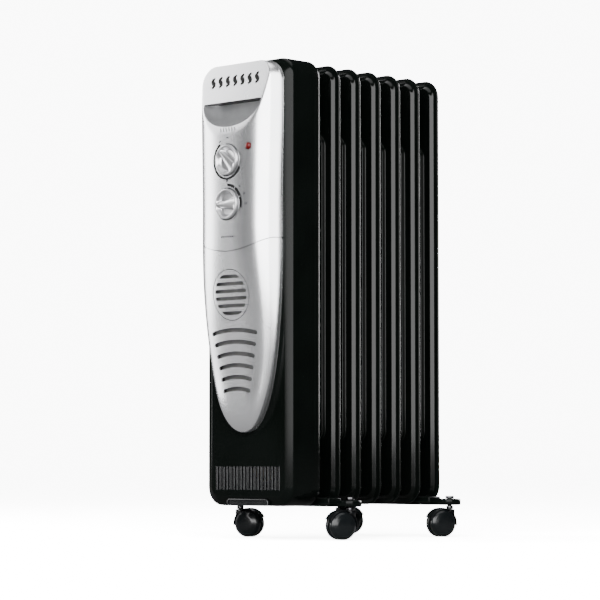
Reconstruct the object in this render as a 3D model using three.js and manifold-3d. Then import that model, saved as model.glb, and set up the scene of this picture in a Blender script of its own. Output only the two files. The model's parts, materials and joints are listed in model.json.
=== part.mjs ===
// Oil filled radiator heater: seven pressed steel fins on two headers, a control box with a
// silver two-piece fascia and two knobs, and two foot brackets on four twin-wheel casters.
// Millimetres, +Z up, the control panel faces -Y, origin at the middle of the footprint on the floor.

import * as THREE from "three";
import { mergeVertices } from "three/addons/utils/BufferGeometryUtils.js";
import Module from "manifold-3d";

const wasm = await Module();
wasm.setup();

// Driving dimensions.
const GAP = 0.3;
const FIN_COUNT = 7;
const FIN_PITCH = 40;
const FIN_WIDTH = 155;
const FIN_BOTTOM = 45;
const FIN_TOP = 634.5;
const CORNER_R = 25;
const FIRST_FIN_Y = -79.55;
const BOX_HALF_WIDTH = 80;
const BOX_FRONT = -56.4;
const BOX_BACK = -1.9;
const BOX_BOTTOM = 44.3;
const BOX_TOP = 635;
const BOX_EDGE_ACROSS = 12;
const BOX_EDGE_DEEP = 5.5;
const BOX_WALL = 2.5;
const HEADER_LOW = 98;
const HEADER_HIGH = 582;
const BOSS_R = 28;
const HEADER_BORE_R = 23;
const SHIELD_Y = -16;
const FASCIA_TOP = 633;
const FASCIA_TIP = 141;
const FASCIA_HALF_WIDTH = 65.3;
const FASCIA_WALL = 2.4;
const MOUTH_HALF_WIDTH = 54;
const MOUTH_TOP = 579;
const MOUTH_DROP = 35;
const KNOB_R = 20.5;
const KNOB_FRONT = 42;
const THERMOSTAT_Z = 500;
const POWER_Z = 441.5;
const GRILLE_Z = 322;
const GRILLE_R = 33.5;
const LAMP_X = 37;
const LAMP_Z = 516;
const BRACKET_BOTTOM = 43.5;
const BRACKET_TOP = 55;
const LOBE_TOP = 52;
const BRACKET_FRONT_Y = 21;
const BRACKET_REAR_Y = 221;
const STEM_X = 103;
const STEM_R = 3;
const STEM_SHIFT_Y = 11;
const WHEEL_R = 18.8;
const TRAIL = 14;

function paint(color, roughness, metalness) {
  return new THREE.MeshStandardMaterial({ color, roughness, metalness });
}

const black_enamel = paint(0x0b0d0c, 0.28, 0.2);
const silver_paint = paint(0xc9cacd, 0.35, 0.6);
const black_plastic = paint(0x0d0e10, 0.3, 0.0);
const dark_plastic = paint(0x1b1c1e, 0.5, 0.0);
const bare_steel = paint(0xa9abad, 0.35, 0.9);
const plated_zinc = paint(0xb9b7ae, 0.4, 0.9);
const yellow_brass = paint(0xb9974f, 0.35, 0.9);
const red_lens = paint(0xb01018, 0.15, 0.0);
const clear_glass = paint(0xd8d2c8, 0.1, 0.0);
const white_ceramic = paint(0xe2ded4, 0.6, 0.0);

// Closed solids from geometries, and back.

function signedVolume(positions, triangles) {
  const [a, b, c] = [new THREE.Vector3(), new THREE.Vector3(), new THREE.Vector3()];
  let sum = 0;
  for (let i = 0; i < triangles.length; i += 3) {
    a.fromArray(positions, triangles[i] * 3);
    b.fromArray(positions, triangles[i + 1] * 3);
    c.fromArray(positions, triangles[i + 2] * 3);
    sum += a.dot(b.cross(c)) / 6;
  }
  return sum;
}

function solidOf(geometry) {
  const bare = new THREE.BufferGeometry();
  bare.setAttribute("position", geometry.getAttribute("position").clone());
  bare.setIndex(geometry.index ? geometry.index.clone() : null);
  const merged = mergeVertices(bare, 1e-4);
  const positions = merged.getAttribute("position").array;
  const corners = merged.index.array;
  const kept = [];
  for (let i = 0; i < corners.length; i += 3) {
    const [a, b, c] = [corners[i], corners[i + 1], corners[i + 2]];
    if (a !== b && b !== c && c !== a) kept.push(a, b, c);
  }
  if (signedVolume(positions, kept) < 0) kept.reverse();
  const vertProperties = new Float32Array(positions);
  const triVerts = new Uint32Array(kept);
  return new wasm.Manifold(new wasm.Mesh({ numProp: 3, vertProperties, triVerts }));
}

function geometryOf(solid) {
  const mesh = solid.getMesh();
  const positions = new Float32Array(mesh.numVert * 3);
  for (let i = 0; i < mesh.numVert; i += 1) {
    for (let k = 0; k < 3; k += 1) positions[i * 3 + k] = mesh.vertProperties[i * mesh.numProp + k];
  }
  const geometry = new THREE.BufferGeometry();
  geometry.setAttribute("position", new THREE.BufferAttribute(positions, 3));
  geometry.setIndex(new THREE.BufferAttribute(new Uint32Array(mesh.triVerts), 1));
  geometry.computeVertexNormals();
  return geometry;
}

function addPiece(parent, name, solid, material) {
  const mesh = new THREE.Mesh(geometryOf(solid), material);
  mesh.name = name;
  parent.add(mesh);
  return mesh;
}

const joined = (solids) => solids.reduce((whole, piece) => whole.add(piece));

const cutBy = (solid, cutters) => cutters.reduce((rest, cutter) => rest.subtract(cutter), solid);

function block([x0, x1], [y0, y1], [z0, z1]) {
  const box = new THREE.BoxGeometry(x1 - x0, y1 - y0, z1 - z0);
  box.translate((x0 + x1) / 2, (y0 + y1) / 2, (z0 + z1) / 2);
  return solidOf(box);
}

// A round bar along Y from y0 to y1, centred on x and z.
function rodAlongY(radius, y0, y1, x, z, sides = 20) {
  const rod = new THREE.CylinderGeometry(radius, radius, y1 - y0, sides);
  rod.translate(x, (y0 + y1) / 2, z);
  return solidOf(rod);
}

// A round bar along Z from z0 to z1, centred on x and y.
function rodAlongZ(radius, z0, z1, x, y, sides = 16) {
  const rod = new THREE.CylinderGeometry(radius, radius, z1 - z0, sides);
  rod.rotateX(Math.PI / 2);
  rod.translate(x, y, (z0 + z1) / 2);
  return solidOf(rod);
}

// A turned piece about Y: profile points are [radius, y].
function turnedAboutY(profile, x, z, sides = 20) {
  const points = profile.map(([radius, y]) => new THREE.Vector2(radius, y));
  const lathe = new THREE.LatheGeometry(points, sides);
  lathe.translate(x, 0, z);
  return solidOf(lathe);
}

// An outline drawn in X and Z, pushed along Y from y0 to y1.
function prismAlongY(shape, y0, y1, curveSegments = 8) {
  const prism = new THREE.ExtrudeGeometry(shape, { depth: y1 - y0, bevelEnabled: false, curveSegments });
  prism.rotateX(Math.PI / 2);
  prism.translate(0, y1, 0);
  return solidOf(prism);
}

// Corner points of a rectangle in X and Z with round corners, the same count for every inset.
function roundedLoop(halfWidth, low, high, radius, inset, segments) {
  const loop = [];
  const r = Math.max(radius - inset, 0.5);
  const centres = [
    [halfWidth - inset - r, high - inset - r, 0],
    [-halfWidth + inset + r, high - inset - r, 1],
    [-halfWidth + inset + r, low + inset + r, 2],
    [halfWidth - inset - r, low + inset + r, 3],
  ];
  for (const [x, z, quarter] of centres) {
    for (let i = 0; i <= segments; i += 1) {
      const angle = ((quarter + i / segments) * Math.PI) / 2;
      loop.push([x + r * Math.cos(angle), z + r * Math.sin(angle)]);
    }
  }
  return loop;
}

// A closed solid through loops of equal point count; each ring is {loop, y}.
function lofted(rings) {
  const count = rings[0].loop.length;
  const positions = [];
  const triangles = [];
  for (const { loop, y } of rings) {
    for (const [x, z] of loop) positions.push(x, y, z);
  }
  for (let k = 0; k + 1 < rings.length; k += 1) {
    for (let i = 0; i < count; i += 1) {
      const a = k * count + i;
      const b = k * count + ((i + 1) % count);
      triangles.push(a, b, a + count, b, b + count, a + count);
    }
  }
  for (const end of [0, rings.length - 1]) {
    const { loop, y } = rings[end];
    const hub = positions.length / 3;
    const middleX = loop.reduce((sum, point) => sum + point[0], 0) / count;
    const middleZ = loop.reduce((sum, point) => sum + point[1], 0) / count;
    positions.push(middleX, y, middleZ);
    for (let i = 0; i < count; i += 1) {
      const a = end * count + i;
      const b = end * count + ((i + 1) % count);
      if (end === 0) triangles.push(hub, b, a);
      else triangles.push(hub, a, b);
    }
  }
  const geometry = new THREE.BufferGeometry();
  geometry.setAttribute("position", new THREE.Float32BufferAttribute(positions, 3));
  geometry.setIndex(triangles);
  return solidOf(geometry);
}

// One fin: two pressed halves seamed at the rim, a raised oil channel and round header bosses.

const FIN_RIM = 1.3;
const FIN_FOLD = 6.5;
const CHANNEL_HALF_DEPTH = 11;
const CHANNEL_HALF_WIDTH = 54;
const CHANNEL_LOW = 130;
const CHANNEL_HIGH = 540;
const FIN_SHEET = 2;

function finPlate(y) {
  const outline = (inset) => roundedLoop(FIN_WIDTH / 2, FIN_BOTTOM, FIN_TOP, CORNER_R, inset, 3);
  const channel = (grow) => roundedLoop(
    CHANNEL_HALF_WIDTH + grow, CHANNEL_LOW - grow, CHANNEL_HIGH + grow, 14, 0, 3);
  const front = [
    { loop: channel(0), y: CHANNEL_HALF_DEPTH },
    { loop: channel(4), y: FIN_FOLD },
    { loop: outline(10), y: FIN_FOLD },
    { loop: outline(2.6), y: FIN_RIM },
    { loop: outline(0), y: FIN_RIM },
  ];
  const rings = front.map((ring) => ({ loop: ring.loop, y: y - ring.y }));
  for (const ring of front.slice().reverse()) rings.push({ loop: ring.loop, y: y + ring.y });
  return lofted(rings);
}

function fin(index) {
  const y = index * FIN_PITCH;
  const first = index === 0;
  const last = index === FIN_COUNT - 1;
  const reach = FIN_PITCH / 2 - GAP / 2;
  const rearEnd = last ? y + 13.5 : y + reach;
  const topFront = first ? y - 13 : y - reach;
  const neck = block([-26, 26], [y - CHANNEL_HALF_DEPTH, y + CHANNEL_HALF_DEPTH], [HEADER_LOW, HEADER_HIGH]);
  const body = joined([
    finPlate(y),
    neck,
    rodAlongY(BOSS_R, y - reach, rearEnd, 0, HEADER_LOW, 16),
    rodAlongY(BOSS_R, topFront, rearEnd, 0, HEADER_HIGH, 16),
  ]);
  const depth = CHANNEL_HALF_DEPTH - FIN_SHEET;
  const boreRear = last ? y + depth : y + FIN_PITCH;
  const topBoreFront = first ? y - depth : y - FIN_PITCH;
  const oilSpace = joined([
    block([-22, 22], [y - depth, y + depth], [HEADER_LOW, HEADER_HIGH]),
    block([-50, 50], [y - depth, y + depth], [CHANNEL_LOW + 4, CHANNEL_HIGH - 4]),
    rodAlongY(HEADER_BORE_R, y - FIN_PITCH, boreRear, 0, HEADER_LOW, 12),
    rodAlongY(HEADER_BORE_R, topBoreFront, boreRear, 0, HEADER_HIGH, 12),
  ]);
  return body.subtract(oilSpace);
}

// Control box: an open-backed black shell with a louvre, vent windows and spindle holes.

const LOUVRE_COUNT = 19;
const LOUVRE_HALF_WIDTH = 58;
const LOUVRE_LOW = 66;
const LOUVRE_HIGH = 95.6;

function boxBody(offset, frontOffset, back) {
  const ringAt = (share) => {
    const angle = (share * Math.PI) / 2;
    const inset = offset + BOX_EDGE_ACROSS * (1 - Math.sin(angle));
    const y = BOX_FRONT + frontOffset + BOX_EDGE_DEEP * (1 - Math.cos(angle));
    return { loop: roundedLoop(BOX_HALF_WIDTH, BOX_BOTTOM, BOX_TOP, CORNER_R, inset, 5), y };
  };
  const edge = roundedLoop(BOX_HALF_WIDTH, BOX_BOTTOM, BOX_TOP, CORNER_R, offset, 5);
  return lofted([ringAt(0), ringAt(0.33), ringAt(0.67), ringAt(1), { loop: edge, y: back }]);
}

function housing() {
  const shell = boxBody(0, 0, BOX_BACK).subtract(boxBody(BOX_WALL, BOX_WALL, BOX_BACK + 5));
  const through = [BOX_FRONT - 5, BOX_FRONT + BOX_WALL + 5];
  const cutters = [block([-22, 22], through, [195, 350])];
  const pitch = (2 * LOUVRE_HALF_WIDTH) / (LOUVRE_COUNT - 1);
  for (let i = 0; i < LOUVRE_COUNT; i += 1) {
    const x = -LOUVRE_HALF_WIDTH + i * pitch;
    cutters.push(block([x - 1.3, x + 1.3], through, [LOUVRE_LOW, LOUVRE_HIGH]));
  }
  for (const z of [THERMOSTAT_Z, POWER_Z]) cutters.push(rodAlongY(7, through[0], through[1], 0, z, 16));
  cutters.push(rodAlongY(5, through[0], through[1], LAMP_X, LAMP_Z, 16));
  const bushHole = rodAlongY(8.3, -4, 4, 0, 0, 16).rotate([0, 0, 90]);
  cutters.push(bushHole.translate([-BOX_HALF_WIDTH, -28, 92]));
  const lip = block([-37.6, 37.6], [BOX_FRONT - 1, BOX_FRONT + 8], [BOX_BOTTOM + 0.2, BOX_BOTTOM + 8.7]);
  return cutBy(shell.add(lip.subtract(boxBody(BOX_WALL, BOX_WALL, BOX_BACK))), cutters);
}

// Silver fascia: its outline is a superellipse tip under nearly straight sides, its section is a
// superellipse arch on a low rim, and a flat facet leans back at the top.

const OUTLINE_BEND = 381;
const TIP_HEIGHT = 7;
const NOSE_TOP = 200;
const NOSE_HEIGHT = 13.3;
const CHEST_HEIGHT = 18.4;
const FACET_START = 578;
const FACET_HEIGHT = 29.7;
const FACET_SLOPE = 0.213;
const TOP_CORNER_R = 25;

const { smoothstep } = THREE.MathUtils;

// Superellipse arch: 1 in the middle, 0 at share 1.
const archAt = (share, power, root = 1 / power) => (1 - Math.min(share, 1) ** power) ** root;

function fasciaHalfWidth(z) {
  const tip = archAt(Math.max((OUTLINE_BEND - z) / (OUTLINE_BEND - FASCIA_TIP), 0), 2.35);
  const rise = Math.max(z - (FASCIA_TOP - TOP_CORNER_R), 0);
  const corner = TOP_CORNER_R - Math.sqrt(Math.max(TOP_CORNER_R ** 2 - rise ** 2, 0));
  return FASCIA_HALF_WIDTH * tip + 2.5 * smoothstep(z, 430, 575) - corner;
}

// Height of the middle line: a blunt nose at the tip, then a slow rise to the flat chest.
function fasciaCrown(z) {
  const nose = archAt(Math.max((NOSE_TOP - z) / (NOSE_TOP - FASCIA_TIP), 0), 2.2, 0.6);
  return TIP_HEIGHT + NOSE_HEIGHT * nose + CHEST_HEIGHT * smoothstep(z, 190, 415);
}

// How far the silver surface stands in front of the box, at height z and share t of the half width.
function fasciaHeight(t, z) {
  const settled = smoothstep(z, 230, 420);
  const rim = 6 - 3.2 * settled;
  const arch = rim + (fasciaCrown(z) - rim) * archAt(Math.abs(t), 4.2 - 1.1 * settled);
  const facet = FACET_HEIGHT - FACET_SLOPE * (z - FACET_START);
  return Math.min(arch, facet);
}

function fasciaBody(inset, backY, frontInset) {
  const rows = 20;
  const columns = 12;
  const low = FASCIA_TIP + inset;
  const high = FASCIA_TOP - inset;
  const shrink = (FASCIA_HALF_WIDTH - inset) / FASCIA_HALF_WIDTH;
  const positions = [];
  const triangles = [];
  for (const layer of [0, 1]) {
    for (let i = 0; i <= rows; i += 1) {
      const share = 0.5 - 0.5 * Math.cos((Math.PI * i) / rows);
      const z = low + (high - low) * share;
      const outlineZ = FASCIA_TIP + (FASCIA_TOP - FASCIA_TIP) * share;
      for (let j = 0; j <= columns; j += 1) {
        const t = Math.sin((Math.PI / 2) * ((2 * j) / columns - 1));
        const x = t * fasciaHalfWidth(outlineZ) * shrink;
        const y = layer === 0 ? BOX_FRONT - fasciaHeight(t, outlineZ) + frontInset : backY;
        positions.push(x, y, z);
      }
    }
  }
  const stride = columns + 1;
  const layerSize = (rows + 1) * stride;
  const quad = (a, b, c, d) => triangles.push(a, b, c, a, c, d);
  for (let i = 0; i < rows; i += 1) {
    for (let j = 0; j < columns; j += 1) {
      const a = i * stride + j;
      quad(a, a + 1, a + 1 + stride, a + stride);
      quad(a + layerSize, a + stride + layerSize, a + 1 + stride + layerSize, a + 1 + layerSize);
    }
    const left = i * stride;
    const right = left + columns;
    quad(left, left + stride, left + stride + layerSize, left + layerSize);
    quad(right, right + layerSize, right + stride + layerSize, right + stride);
  }
  for (let j = 0; j < columns; j += 1) {
    const top = rows * stride + j;
    quad(j, j + layerSize, j + 1 + layerSize, j + 1);
    quad(top, top + 1, top + 1 + layerSize, top + layerSize);
  }
  const geometry = new THREE.BufferGeometry();
  geometry.setAttribute("position", new THREE.Float32BufferAttribute(positions, 3));
  geometry.setIndex(triangles);
  return solidOf(geometry);
}

// The seam between the two halves is a parabola, lowest in the middle.
function belowSeam(lift) {
  const side = 80;
  const middle = 379.5 + lift;
  const bow = 0.0037 * side ** 2;
  const shape = new THREE.Shape();
  shape.moveTo(-side, 0);
  shape.lineTo(side, 0);
  shape.lineTo(side, middle + bow);
  shape.quadraticCurveTo(0, middle - bow, -side, middle + bow);
  return prismAlongY(shape, -120, 0, 12);
}

// The D-shaped mouth of the grab recess: straight top, elliptical bottom.
function grabShape(grow) {
  const [halfWidth, top, drop] = [MOUTH_HALF_WIDTH + grow, MOUTH_TOP + grow, MOUTH_DROP + 2 * grow];
  const shape = new THREE.Shape();
  shape.moveTo(-halfWidth, top);
  shape.absellipse(0, top, halfWidth, drop, Math.PI, 2 * Math.PI, false, 0);
  return shape;
}

// One arched vent, a band of constant height that bows upwards; the lower ones are narrower and flatter.
function archedSlot(index) {
  const z = 271.5 - index * 15.2;
  const halfWidth = 39.6 - index * 3.4;
  const bow = 4.3 * (halfWidth / 39.6) ** 0.6;
  const half = 2.3;
  const shape = new THREE.Shape();
  shape.moveTo(-halfWidth, z - half);
  shape.quadraticCurveTo(0, z + 2 * bow - half, halfWidth, z - half);
  shape.lineTo(halfWidth, z + half);
  shape.quadraticCurveTo(0, z + 2 * bow + half, -halfWidth, z + half);
  return prismAlongY(shape, -120, 0, 3);
}

const fasciaShell = () => {
  const back = BOX_FRONT - GAP;
  return fasciaBody(0, back, 0).subtract(fasciaBody(FASCIA_WALL, back + 4, FASCIA_WALL));
};

function fasciaUpper() {
  const hole = (radius, x, z) => rodAlongY(radius, -120, 0, x, z, 24);
  return cutBy(fasciaShell().subtract(belowSeam(0.25)), [
    prismAlongY(grabShape(0), -120, 0, 8),
    hole(KNOB_R + 1.2, 0, THERMOSTAT_Z),
    hole(KNOB_R + 1.2, 0, POWER_Z),
    hole(5.2, LAMP_X, LAMP_Z),
  ]);
}

function fasciaLower() {
  const slots = [0, 1, 2, 3, 4, 5].map(archedSlot);
  const lower = fasciaShell().intersect(belowSeam(-0.25));
  return cutBy(lower, [rodAlongY(GRILLE_R, -120, 0, 0, GRILLE_Z, 28), ...slots]);
}

function grabCup() {
  const back = BOX_FRONT - 6;
  const mouth = fasciaBody(0, BOX_FRONT - GAP, 0);
  const cup = prismAlongY(grabShape(-GAP), -120, back, 8).intersect(mouth);
  return cup.subtract(prismAlongY(grabShape(-1.9), -120, back - 2, 8));
}

function roundGrille() {
  const face = rodAlongY(GRILLE_R - GAP, -120, BOX_FRONT - 24, 0, GRILLE_Z, 28);
  const disc = face.intersect(fasciaBody(0.4, BOX_FRONT - GAP, 0.4));
  const slots = [-2.5, -1.5, -0.5, 0.5, 1.5, 2.5].map((step) => {
    const z = GRILLE_Z + step * 10;
    const half = Math.sqrt((GRILLE_R - 3.5) ** 2 - (Math.abs(step * 10) + 2) ** 2);
    return block([-half, half], [-120, 0], [z - 2.3, z + 2.3]);
  });
  return cutBy(disc, slots);
}

// Controls: the knobs, their spindles and what they turn, on one bracket behind the box's face.

function knob(z) {
  const front = BOX_FRONT - KNOB_FRONT;
  const back = BOX_FRONT - 25;
  const body = turnedAboutY([
    [0, back - 9],
    [3.4, back - 9],
    [3.4, back],
    [KNOB_R, back],
    [KNOB_R, front + 5],
    [KNOB_R - 1.5, front + 1],
    [KNOB_R - 3, front],
    [0, front],
  ], 0, z, 28);
  const scoop = (side) => {
    const shape = new THREE.Shape();
    shape.moveTo(side * 3, z - 16);
    shape.lineTo(side * 5, z + 15);
    shape.quadraticCurveTo(side * 17, z + 9, side * 16.5, z - 2);
    shape.quadraticCurveTo(side * 15, z - 12, side * 3, z - 16);
    return prismAlongY(shape, front - 1, front + 4.5, 4);
  };
  return cutBy(body, [scoop(1), scoop(-1)]);
}

function addControl(parent, names, z, turn, box) {
  const dial = new THREE.Group();
  dial.position.set(0, 0, z);
  dial.rotation.y = turn;
  addPiece(dial, names[0], knob(0), silver_paint);
  const shaft = rodAlongY(3, BOX_FRONT - 33.5, BOX_FRONT + 8, 0, 0, 12);
  const flat = block([1.8, 4], [BOX_FRONT - 34, BOX_FRONT - 20], [-4, 4]);
  addPiece(dial, names[1], shaft.subtract(flat), plated_zinc);
  parent.add(dial);
  const [halfWidth, halfHeight, depth] = box;
  const body = block([-halfWidth, halfWidth], [BOX_FRONT + 5, BOX_FRONT + 5 + depth],
    [z - halfHeight, z + halfHeight]);
  const lugs = [-1, 1].map((side) => block([side * 10 - 2.4, side * 10 + 2.4],
    [BOX_FRONT + 4 + depth, BOX_FRONT + 11 + depth], [z - 0.6, z + 0.6]));
  const bore = rodAlongY(3 + GAP, BOX_FRONT, BOX_FRONT + 8 + GAP, 0, z, 12);
  addPiece(parent, names[2], joined([body, ...lugs]).subtract(bore), dark_plastic);
}

function controlBracket() {
  const y0 = BOX_FRONT + BOX_WALL + GAP;
  const plate = block([-34, 34], [y0, y0 + 1.6], [POWER_Z - 26, THERMOSTAT_Z + 22]);
  const holes = [THERMOSTAT_Z, POWER_Z].map((z) => rodAlongY(5, y0 - 1, y0 + 3, 0, z, 16));
  return cutBy(plate, holes);
}

function addPilot(parent) {
  const face = BOX_FRONT - fasciaHeight(LAMP_X / fasciaHalfWidth(LAMP_Z), LAMP_Z);
  addPiece(parent, "pilot_lens", turnedAboutY([
    [0, face + 6],
    [4.8, face + 6],
    [4.8, face - 0.5],
    [3.4, face - 2.2],
    [0, face - 3],
  ], LAMP_X, LAMP_Z, 16), red_lens);
  addPiece(parent, "pilot_lamp", turnedAboutY([
    [0, face + 22],
    [2.6, face + 22],
    [2.6, face + 9],
    [0, face + 6.5],
  ], LAMP_X, LAMP_Z, 10), clear_glass);
}

// Inside the box: the shield, the heating element in the lower header and its connections.

function heatShield() {
  const loop = roundedLoop(BOX_HALF_WIDTH, BOX_BOTTOM, BOX_TOP, CORNER_R, BOX_WALL + GAP, 5);
  const plate = lofted([{ loop, y: SHIELD_Y - 1.2 }, { loop, y: SHIELD_Y }]);
  return plate.subtract(rodAlongY(BOSS_R + 2, SHIELD_Y - 5, SHIELD_Y + 5, 0, HEADER_LOW, 24));
}

const ELEMENT_R = 4.2;
const ELEMENT_LEG_X = 10;

function elementTube() {
  const front = -36;
  const back = (FIN_COUNT - 1) * FIN_PITCH - 20;
  const points = [new THREE.Vector3(-ELEMENT_LEG_X, front, HEADER_LOW)];
  for (let i = 0; i <= 6; i += 1) {
    const angle = Math.PI - (Math.PI * i) / 6;
    points.push(new THREE.Vector3(
      ELEMENT_LEG_X * Math.cos(angle), back + ELEMENT_LEG_X * Math.sin(angle), HEADER_LOW));
  }
  points.push(new THREE.Vector3(ELEMENT_LEG_X, front, HEADER_LOW));
  const path = new THREE.CurvePath();
  for (let i = 0; i + 1 < points.length; i += 1) path.add(new THREE.LineCurve3(points[i], points[i + 1]));
  const section = new THREE.Shape();
  section.absarc(0, 0, ELEMENT_R, 0, 2 * Math.PI, false);
  return solidOf(new THREE.ExtrudeGeometry(section, { steps: 27, curveSegments: 3, extrudePath: path }));
}

function elementFlange() {
  const seat = -FIN_PITCH / 2 - GAP;
  const disc = rodAlongY(22, seat - 4, seat, 0, HEADER_LOW, 24);
  const hexagon = rodAlongY(19, seat - 11, seat - 3, 0, HEADER_LOW, 6);
  const legs = [-1, 1].map((side) => rodAlongY(
    ELEMENT_R + 0.6, seat - 20, seat + 5, side * ELEMENT_LEG_X, HEADER_LOW, 12));
  return cutBy(disc.add(hexagon), legs);
}

function terminalBlock() {
  const base = block([-24, 24], [-44, -30], [160, 176]);
  const notches = [-16, 0, 16].map((x) => block([x - 5, x + 5], [-46, -38], [165, 171]));
  return cutBy(base, notches);
}

function cordBush() {
  const bush = turnedAboutY([
    [0, -4],
    [8, -4],
    [8, 0],
    [10.5, GAP],
    [10.5, 2.5],
    [7, 9],
    [4.2, 9],
    [4.2, 5],
    [0, 5],
  ], 0, 0, 16);
  return bush.rotate([0, 0, 90]).translate([-BOX_HALF_WIDTH, -28, 92]);
}

// Foot brackets, clamped to the lower header by a U-bolt and two nuts.

const U_BOLT_R = 2.5;
const U_BOLT_HALF = BOSS_R + GAP + U_BOLT_R;

function footBracket(y) {
  const halfBar = 12;
  const bar = block([-86, 86], [y - halfBar, y + halfBar], [BRACKET_BOTTOM, BRACKET_TOP]);
  const ends = [-1, 1].map((side) => block(
    [side * 94 - 9, side * 94 + 9], [y - 4, y + halfBar], [BRACKET_BOTTOM, LOBE_TOP]));
  const lobes = [-1, 1].map((side) => rodAlongZ(
    15, BRACKET_BOTTOM, LOBE_TOP, side * STEM_X, y + STEM_SHIFT_Y, 20));
  const saddle = block([-11, 11], [y - 8, y + 8], [BRACKET_TOP - 1, HEADER_LOW - BOSS_R - GAP]);
  const drilled = [-1, 1].flatMap((side) => [
    rodAlongZ(STEM_R + GAP, 30, 70, side * STEM_X, y + STEM_SHIFT_Y, 12),
    rodAlongZ(U_BOLT_R + 2 * GAP, 30, 70, side * U_BOLT_HALF, y, 10),
    rodAlongZ(5.6, 30, BRACKET_BOTTOM + 5, side * U_BOLT_HALF, y, 12),
  ]);
  return cutBy(joined([bar, ...ends, ...lobes, saddle]), drilled);
}

function uBolt(y) {
  const foot = BRACKET_BOTTOM + 0.8;
  const points = [new THREE.Vector3(-U_BOLT_HALF, y, foot)];
  for (let i = 0; i <= 10; i += 1) {
    const angle = Math.PI - (Math.PI * i) / 10;
    points.push(new THREE.Vector3(
      U_BOLT_HALF * Math.cos(angle) * 1.03, y, HEADER_LOW + U_BOLT_HALF * Math.sin(angle) * 1.03));
  }
  points.push(new THREE.Vector3(U_BOLT_HALF, y, foot));
  const path = new THREE.CurvePath();
  for (let i = 0; i + 1 < points.length; i += 1) path.add(new THREE.LineCurve3(points[i], points[i + 1]));
  const section = new THREE.Shape();
  section.absarc(0, 0, U_BOLT_R, 0, 2 * Math.PI, false);
  return solidOf(new THREE.ExtrudeGeometry(section, { steps: 18, curveSegments: 3, extrudePath: path }));
}

function clampNut(side, y) {
  const nut = rodAlongZ(4.9, BRACKET_BOTTOM + 0.6, BRACKET_BOTTOM + 4.6, side * U_BOLT_HALF, y, 6);
  return nut.subtract(rodAlongZ(U_BOLT_R + GAP, 30, 70, side * U_BOLT_HALF, y, 12));
}

// Casters: a fixed stem, a hood that swivels on it, and two domed wheels on one axle.
// Local frame: the stem is on the Z axis and the axle lies at -TRAIL in X, along Y.

const HUB_GAP = 2.6;
const WHEEL_DEPTH = 10.8;
const HOOD_WALL = 1.8;
const SOCKET_TOP = 37.6;

function casterHood() {
  const outer = WHEEL_R + 0.5 + HOOD_WALL;
  const halfWidth = HUB_GAP + WHEEL_DEPTH - 3;
  const fender = new THREE.Shape();
  fender.absarc(0, 0, outer, -0.14, 2.72, false);
  fender.absarc(0, 0, WHEEL_R + 0.5, 2.72, -0.14, true);
  const web = new THREE.Shape();
  web.absarc(0, 0, outer - 0.4, -0.14, 2.72, false);
  web.absarc(0, 0, 6, 2.72, 2 * Math.PI - 0.14, false);
  const arch = prismAlongY(fender, -halfWidth, halfWidth, 8).translate([-TRAIL, 0, WHEEL_R]);
  const plate = prismAlongY(web, -HUB_GAP + GAP, HUB_GAP - GAP, 6).translate([-TRAIL, 0, WHEEL_R]);
  const wheelSpace = [-1, 1].map((side) => rodAlongY(
    WHEEL_R + 0.5, Math.min(side * (HUB_GAP - GAP), side * 20), Math.max(side * (HUB_GAP - GAP), side * 20),
    -TRAIL, WHEEL_R, 20));
  const socket = cutBy(rodAlongZ(6.8, 30, SOCKET_TOP, 0, 0, 12), wheelSpace);
  const whole = joined([arch, plate, socket]);
  return cutBy(whole, [
    rodAlongZ(STEM_R + GAP, 34.7, 60, 0, 0, 12),
    rodAlongY(2.5 + GAP, -30, 30, -TRAIL, WHEEL_R, 10),
  ]);
}

function casterWheel(side) {
  const profile = [
    [0, 6],
    [2.8, 6],
    [2.8, 0],
    [WHEEL_R, 0],
    [WHEEL_R, 5.4],
    [WHEEL_R - 3, 8.6],
    [WHEEL_R - 10, 10.4],
    [0, WHEEL_DEPTH],
  ];
  return turnedAboutY(profile.map(([r, a]) => [r, side * (HUB_GAP + a)]), 0, 0, 20);
}

function addCaster(parent, corner, x, y, trailAngle) {
  const caster = new THREE.Group();
  caster.position.set(x, y, 0);
  caster.rotation.z = trailAngle - Math.PI;
  const pin = rodAlongZ(STEM_R, 35, LOBE_TOP + 2, 0, 0, 12);
  const sleeve = rodAlongZ(4.7, SOCKET_TOP + GAP, 42.4, 0, 0, 12);
  addPiece(caster, `caster_${corner}_stem`, pin.add(sleeve), bare_steel);
  addPiece(caster, `caster_${corner}_hood`, casterHood(), black_plastic);
  const axle = rodAlongY(2.5, -HUB_GAP - 5.6, HUB_GAP + 5.6, -TRAIL, WHEEL_R, 10);
  addPiece(caster, `caster_${corner}_axle`, axle, bare_steel);
  for (const [suffix, side] of [["a", -1], ["b", 1]]) {
    const wheel = addPiece(caster, `caster_${corner}_wheel_${suffix}`, casterWheel(side), black_plastic);
    wheel.position.set(-TRAIL, 0, WHEEL_R);
  }
  const cap = rodAlongZ(6, LOBE_TOP + GAP, LOBE_TOP + 4, 0, 0, 6);
  const capBore = rodAlongZ(STEM_R + GAP, LOBE_TOP, LOBE_TOP + 2 + GAP, 0, 0, 12);
  addPiece(caster, `caster_${corner}_nut`, cap.subtract(capBore), bare_steel);
  parent.add(caster);
}

const heater = new THREE.Group();
heater.position.y = FIRST_FIN_Y;

for (let i = 0; i < FIN_COUNT; i += 1) addPiece(heater, `fin_${i + 1}`, fin(i), black_enamel);
const rearCap = (FIN_COUNT - 1) * FIN_PITCH + 13.5;
addPiece(heater, "oil_filler_plug", rodAlongY(7, rearCap + GAP, rearCap + 4, 0, HEADER_HIGH, 6), plated_zinc);

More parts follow.
